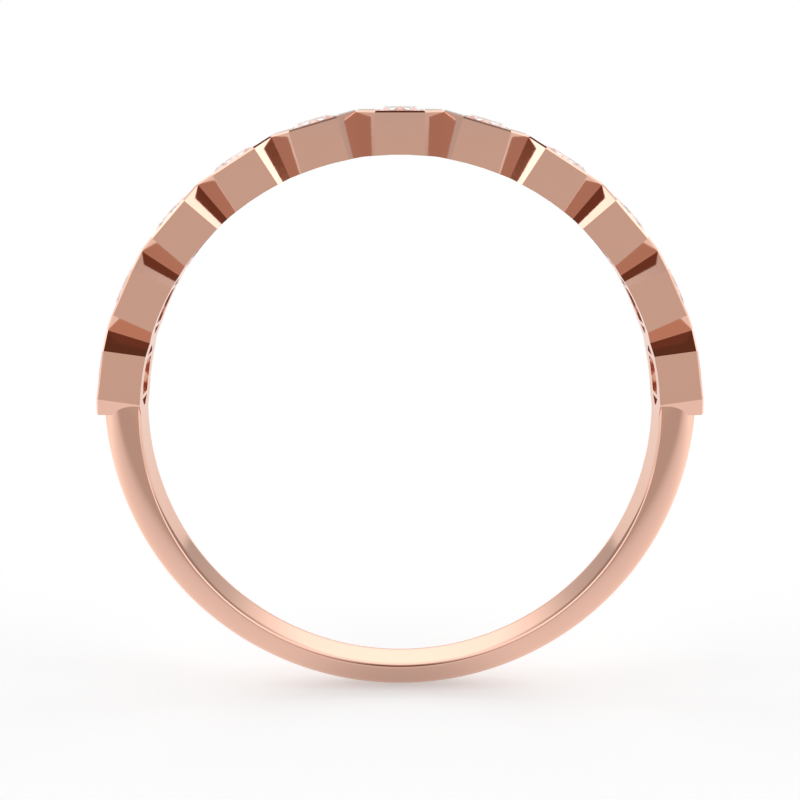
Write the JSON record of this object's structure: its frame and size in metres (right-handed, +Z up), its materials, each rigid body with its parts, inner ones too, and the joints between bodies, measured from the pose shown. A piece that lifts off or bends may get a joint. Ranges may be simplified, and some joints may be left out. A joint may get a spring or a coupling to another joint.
{
  "type": "wedding band",
  "caption": "Rigid half-eternity finger ring: domed tapering shank closed by a row of cut-corner box settings that hold round stones.",
  "frame": {"origin": "centre of the finger bore, midway between the front and back faces", "axes": "+Y along the finger bore, +Z up through the middle of the row of settings, +X across"},
  "size_m": [0.0194, 0.0026, 0.0188],
  "materials": {
    "rose_gold": "polished",
    "diamond": "polished, faceted"
  },
  "bodies": {
    "root": {"shank": "rose_gold", "setting_01": "rose_gold", "diamond_01": "diamond", "setting_02": "rose_gold", "diamond_02": "diamond", "setting_03": "rose_gold", "diamond_03": "diamond", "setting_04": "rose_gold", "diamond_04": "diamond", "setting_05": "rose_gold", "diamond_05": "diamond", "setting_06": "rose_gold", "diamond_06": "diamond", "setting_07": "rose_gold", "diamond_07": "diamond", "setting_08": "rose_gold", "diamond_08": "diamond", "setting_09": "rose_gold", "diamond_09": "diamond", "setting_10": "rose_gold", "diamond_10": "diamond", "setting_11": "rose_gold", "diamond_11": "diamond"}
  },
  "joints": []
}
